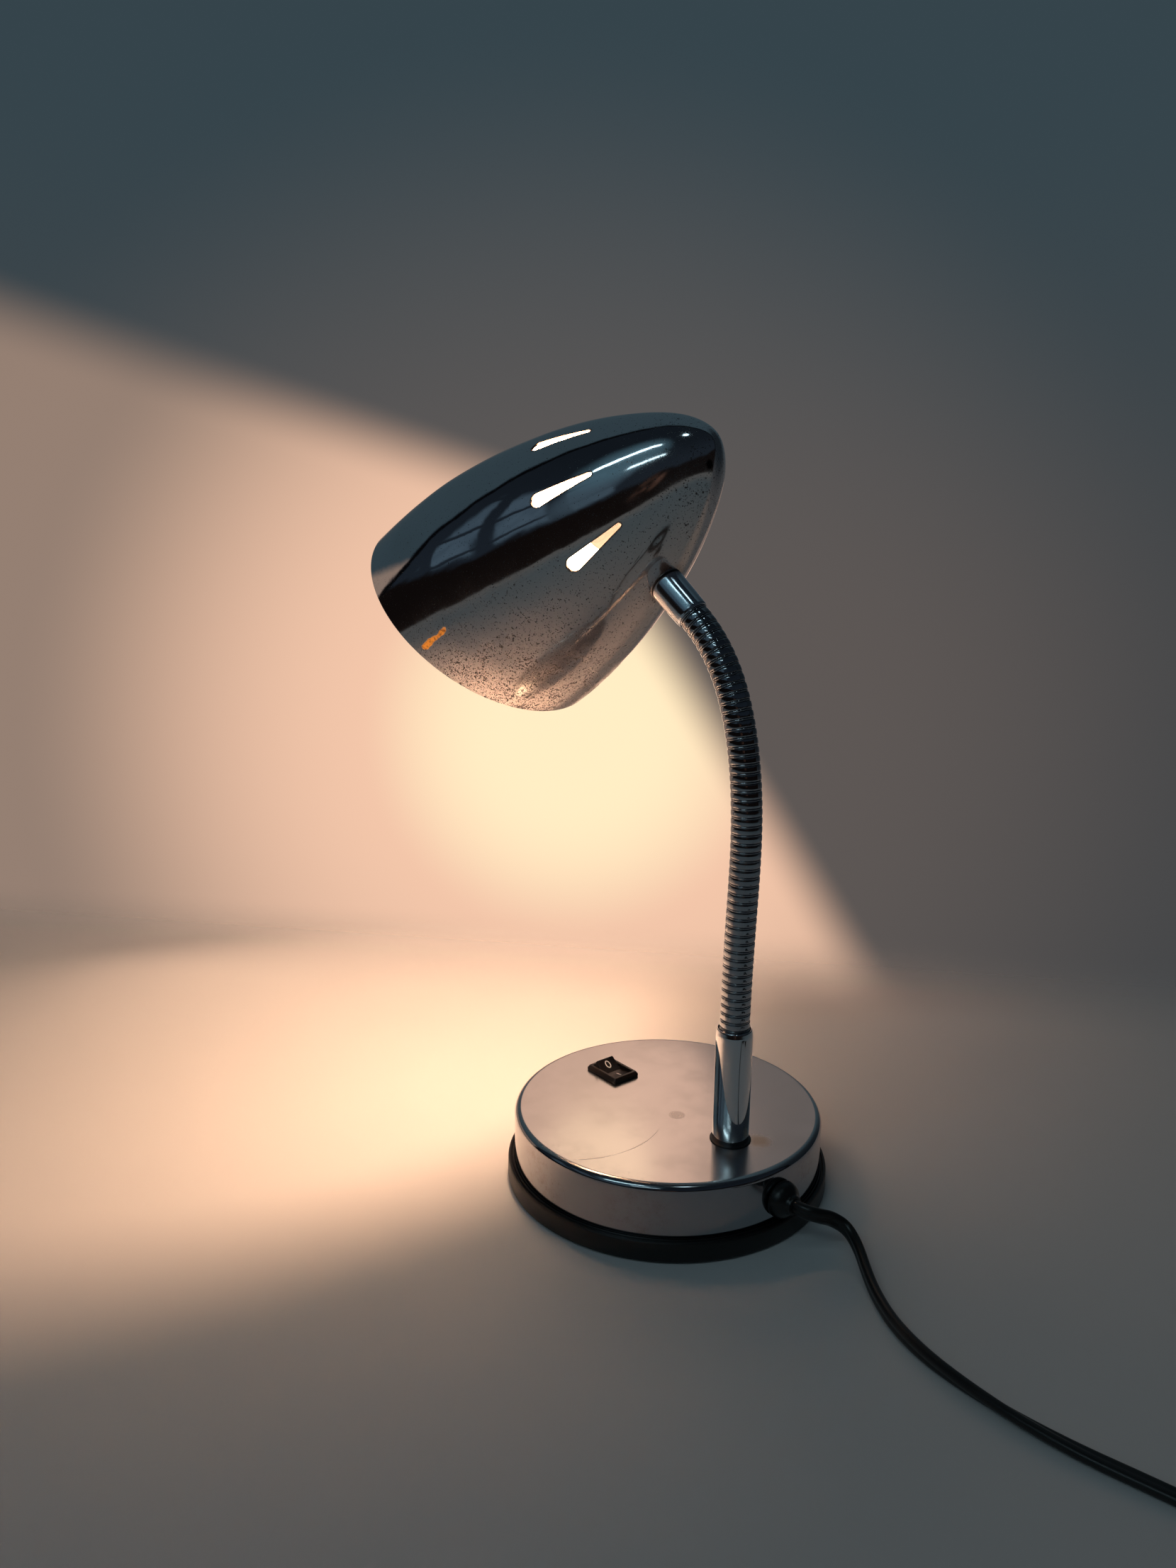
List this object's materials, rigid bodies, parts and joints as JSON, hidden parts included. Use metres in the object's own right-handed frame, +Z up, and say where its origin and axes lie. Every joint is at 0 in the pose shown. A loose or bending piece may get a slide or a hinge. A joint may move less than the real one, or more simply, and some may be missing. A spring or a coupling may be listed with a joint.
{
  "type": "gooseneck desk lamp",
  "caption": "Gooseneck desk lamp: chromed bullet-shaped shade with vents on a flexible metal neck and short stem, round weighted base with a rocker switch, coiled mains cord with plug.",
  "frame": {"origin": "centre of the base on the surface it stands on", "axes": "+Z up; the front, with the switch, faces -Y; the stem and the mains cord are at the back (+Y); seen from the front, +X is to the right"},
  "size_m": [0.1914, 0.4817, 0.3405],
  "materials": {
    "chrome_base": "polished, lightly scuffed",
    "chrome_stem": "polished",
    "chrome_neck": "worn plating over strip",
    "chrome_shade": "polished, pitted near the mouth",
    "black_tray": "satin",
    "black_switch": "smooth",
    "pad_foam": "matte",
    "ballast_iron": "rough",
    "steel": "zinc plated",
    "brass_part": "plain",
    "black_gasket": "matte",
    "holder_plastic": "moulded",
    "opal_glass": "opal",
    "clear_glass": "clear",
    "cord_pvc": "smooth PVC",
    "plug_black": "moulded",
    "lead_cover": "smooth",
    "nickel": "nickel plated"
  },
  "bodies": {
    "base": {"base_ballast": "ballast_iron", "base_cover": "chrome_base", "base_leads": "lead_cover", "base_pad": "pad_foam", "base_screws": "steel", "base_tray": "black_tray", "coil_tie": "plug_black", "cord_coil": "cord_pvc", "cord_lead": "cord_pvc", "cord_strain_relief": "cord_pvc", "cord_tail": "cord_pvc", "neck_end_lower": "chrome_neck", "plug_body": "plug_black", "plug_pins": "nickel", "stem_collar": "black_gasket", "stem_nipple": "steel", "stem_nut": "steel", "stem_tube": "chrome_stem", "stem_washer": "steel", "switch_blades": "brass_part", "switch_contact_spring": "brass_part", "switch_housing": "black_switch"},
    "rocker": {"switch_rocker": "black_switch"},
    "link_01": {"neck_link_01": "chrome_neck"},
    "link_02": {"neck_link_02": "chrome_neck"},
    "link_03": {"neck_link_03": "chrome_neck"},
    "link_04": {"neck_link_04": "chrome_neck"},
    "link_05": {"neck_link_05": "chrome_neck"},
    "link_06": {"neck_link_06": "chrome_neck"},
    "link_07": {"neck_link_07": "chrome_neck"},
    "link_08": {"neck_link_08": "chrome_neck"},
    "link_09": {"neck_link_09": "chrome_neck"},
    "link_10": {"neck_link_10": "chrome_neck"},
    "link_11": {"neck_link_11": "chrome_neck"},
    "link_12": {"neck_link_12": "chrome_neck"},
    "link_13": {"neck_link_13": "chrome_neck"},
    "link_14": {"neck_link_14": "chrome_neck"},
    "link_15": {"neck_link_15": "chrome_neck"},
    "link_16": {"neck_link_16": "chrome_neck"},
    "link_17": {"neck_link_17": "chrome_neck"},
    "link_18": {"neck_link_18": "chrome_neck"},
    "link_19": {"neck_link_19": "chrome_neck"},
    "head": {"neck_end_upper": "chrome_neck", "upper_ferrule": "chrome_stem", "ferrule_gasket": "black_gasket", "shade": "chrome_shade", "head_nipple": "steel", "holder_bracket": "steel", "head_nuts": "steel", "lampholder_body": "holder_plastic", "lampholder_screw_shell": "brass_part", "lampholder_contact": "brass_part", "holder_nipple": "steel", "bulb_globe": "opal_glass", "bulb_stem": "clear_glass", "bulb_filament": "steel", "bulb_cap": "nickel", "bulb_insulator": "black_switch", "bulb_contact": "nickel", "head_leads": "lead_cover"}
  },
  "joints": [
    {"name": "neck_lower_bend", "type": "hinge", "parent": "base", "child": "link_01", "pos_m": [0, 0.0406, 0.0918], "axis": [0.9843, 0.1764, 0], "range_deg": [-9, 7]},
    {"name": "neck_sway", "type": "hinge", "parent": "link_01", "child": "link_02", "pos_m": [-0.00002, 0.04069, 0.10078], "axis": [0.1764, -0.9842, 0.0138], "range_deg": [-5, 5]},
    {"name": "neck_bend_03", "type": "hinge", "parent": "link_02", "child": "link_03", "pos_m": [-0.00004, 0.04084, 0.10976], "axis": [0.9843, 0.1764, 0], "range_deg": [-9, 7]},
    {"name": "neck_sway_04", "type": "hinge", "parent": "link_03", "child": "link_04", "pos_m": [-0.00008, 0.04106, 0.11873], "axis": [0.1763, -0.9839, 0.0276], "range_deg": [-5, 5]},
    {"name": "neck_bend_05", "type": "hinge", "parent": "link_04", "child": "link_05", "pos_m": [-0.00013, 0.04133, 0.12771], "axis": [0.9843, 0.1764, 0], "range_deg": [-9, 7]},
    {"name": "neck_sway_06", "type": "hinge", "parent": "link_05", "child": "link_06", "pos_m": [-0.00019, 0.04165, 0.13668], "axis": [0.1763, -0.9837, 0.0365], "range_deg": [-5, 5]},
    {"name": "neck_bend_07", "type": "hinge", "parent": "link_06", "child": "link_07", "pos_m": [-0.00025, 0.04198, 0.14565], "axis": [0.9843, 0.1764, 0], "range_deg": [-9, 7]},
    {"name": "neck_sway_08", "type": "hinge", "parent": "link_07", "child": "link_08", "pos_m": [-0.0003, 0.04227, 0.15463], "axis": [0.1763, -0.984, 0.0266], "range_deg": [-5, 5]},
    {"name": "neck_bend_09", "type": "hinge", "parent": "link_08", "child": "link_09", "pos_m": [-0.00033, 0.04245, 0.1636], "axis": [0.9843, 0.1764, 0], "range_deg": [-9, 7]},
    {"name": "neck_sway_10", "type": "hinge", "parent": "link_09", "child": "link_10", "pos_m": [-0.00033, 0.04243, 0.17258], "axis": [0.1764, -0.9842, -0.0171], "range_deg": [-5, 5]},
    {"name": "neck_upper_bend", "type": "hinge", "parent": "link_10", "child": "link_11", "pos_m": [-0.00028, 0.04214, 0.18156], "axis": [0.9843, 0.1764, 0], "range_deg": [-12, 6.5]},
    {"name": "neck_sway_12", "type": "hinge", "parent": "link_11", "child": "link_12", "pos_m": [-0.00017, 0.04153, 0.19051], "axis": [0.1757, -0.9803, -0.0906], "range_deg": [-5, 5]},
    {"name": "neck_bend_13", "type": "hinge", "parent": "link_12", "child": "link_13", "pos_m": [0.00001, 0.04054, 0.19944], "axis": [0.9843, 0.1764, 0], "range_deg": [-12, 6.5]},
    {"name": "neck_sway_14", "type": "hinge", "parent": "link_13", "child": "link_14", "pos_m": [0.00026, 0.03915, 0.2083], "axis": [0.1734, -0.9675, -0.184], "range_deg": [-5, 5]},
    {"name": "neck_bend_15", "type": "hinge", "parent": "link_14", "child": "link_15", "pos_m": [0.00059, 0.03729, 0.21708], "axis": [0.9843, 0.1764, 0], "range_deg": [-12, 6.5]},
    {"name": "neck_sway_16", "type": "hinge", "parent": "link_15", "child": "link_16", "pos_m": [0.00103, 0.03487, 0.22571], "axis": [0.1674, -0.9344, -0.3145], "range_deg": [-5, 5]},
    {"name": "neck_bend_17", "type": "hinge", "parent": "link_16", "child": "link_17", "pos_m": [0.00159, 0.03174, 0.23411], "axis": [0.9843, 0.1764, 0], "range_deg": [-12, 6.5]},
    {"name": "neck_sway_18", "type": "hinge", "parent": "link_17", "child": "link_18", "pos_m": [0.0023, 0.02778, 0.24213], "axis": [0.1526, -0.8517, -0.5012], "range_deg": [-5, 5]},
    {"name": "neck_bend_19", "type": "hinge", "parent": "link_18", "child": "link_19", "pos_m": [0.00317, 0.0229, 0.24961], "axis": [0.9843, 0.1764, 0], "range_deg": [-12, 6.5]},
    {"name": "neck_sway_20", "type": "hinge", "parent": "link_19", "child": "head", "pos_m": [0.00421, 0.0171, 0.25637], "axis": [0.126, -0.703, -0.7], "range_deg": [-5, 5]},
    {"name": "rocker_tilt", "type": "hinge", "parent": "base", "child": "rocker", "pos_m": [0, -0.039, 0.03243], "axis": [1, 0, 0], "range_deg": [0, 20]}
  ],
  "couplings": [
    {"joint": "neck_bend_03", "follows": "neck_lower_bend", "ratio": 1},
    {"joint": "neck_sway_04", "follows": "neck_sway", "ratio": 1},
    {"joint": "neck_bend_05", "follows": "neck_lower_bend", "ratio": 1},
    {"joint": "neck_sway_06", "follows": "neck_sway", "ratio": 1},
    {"joint": "neck_bend_07", "follows": "neck_lower_bend", "ratio": 1},
    {"joint": "neck_sway_08", "follows": "neck_sway", "ratio": 1},
    {"joint": "neck_bend_09", "follows": "neck_lower_bend", "ratio": 1},
    {"joint": "neck_sway_10", "follows": "neck_sway", "ratio": 1},
    {"joint": "neck_sway_12", "follows": "neck_sway", "ratio": 1},
    {"joint": "neck_bend_13", "follows": "neck_upper_bend", "ratio": 1},
    {"joint": "neck_sway_14", "follows": "neck_sway", "ratio": 1},
    {"joint": "neck_bend_15", "follows": "neck_upper_bend", "ratio": 1},
    {"joint": "neck_sway_16", "follows": "neck_sway", "ratio": 1},
    {"joint": "neck_bend_17", "follows": "neck_upper_bend", "ratio": 1},
    {"joint": "neck_sway_18", "follows": "neck_sway", "ratio": 1},
    {"joint": "neck_bend_19", "follows": "neck_upper_bend", "ratio": 1},
    {"joint": "neck_sway_20", "follows": "neck_sway", "ratio": 1}
  ]
}
